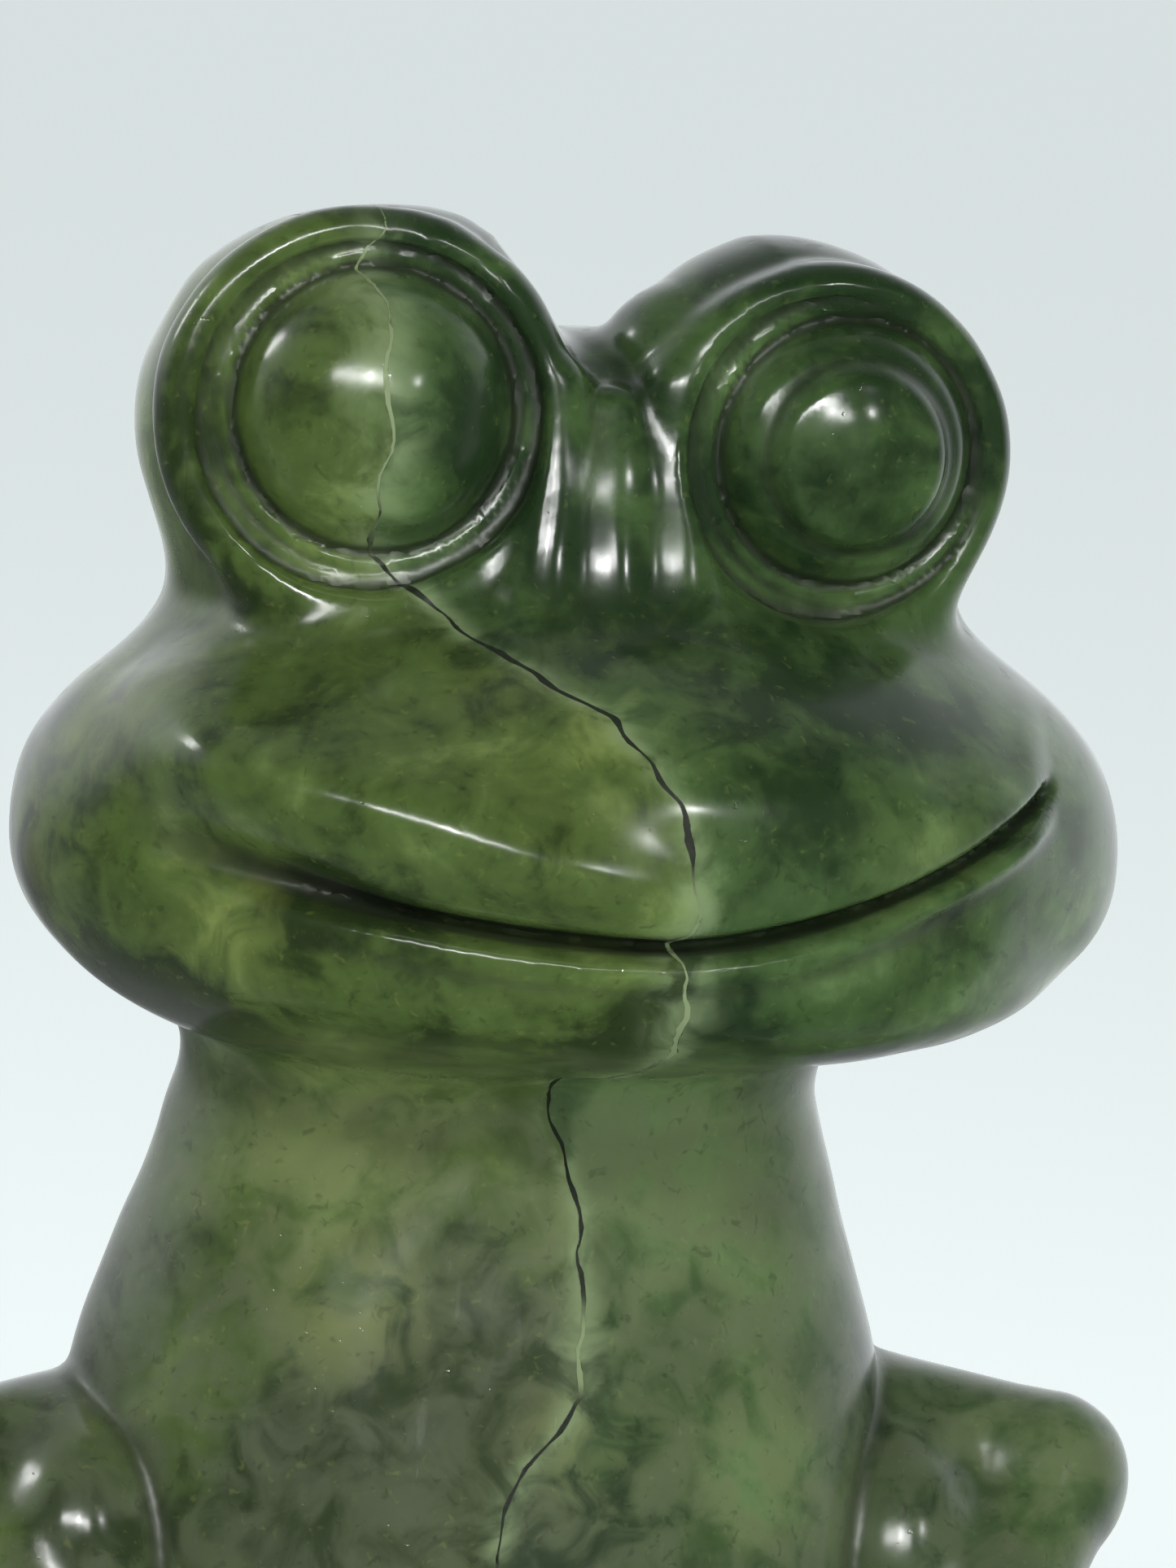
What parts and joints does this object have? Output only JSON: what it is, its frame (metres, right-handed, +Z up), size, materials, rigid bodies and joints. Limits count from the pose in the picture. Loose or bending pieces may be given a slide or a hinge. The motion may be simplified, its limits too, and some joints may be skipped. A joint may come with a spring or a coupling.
{
  "type": "jade figurine",
  "caption": "Seated frog carved in polished mottled green jade, with a mended fracture through head and body, on its own flat base.",
  "frame": {"origin": "middle of the flat base that the figure stands on", "axes": "+Z up, the frog looks along -Y, +X is the frog's own left"},
  "size_m": [0.0708, 0.0533, 0.11],
  "materials": {
    "jade_right": "polished",
    "jade_left": "polished",
    "seam": "satin"
  },
  "bodies": {
    "root": {"right_fragment": "jade_right", "fracture_fill": "seam", "left_fragment": "jade_left"}
  },
  "joints": []
}
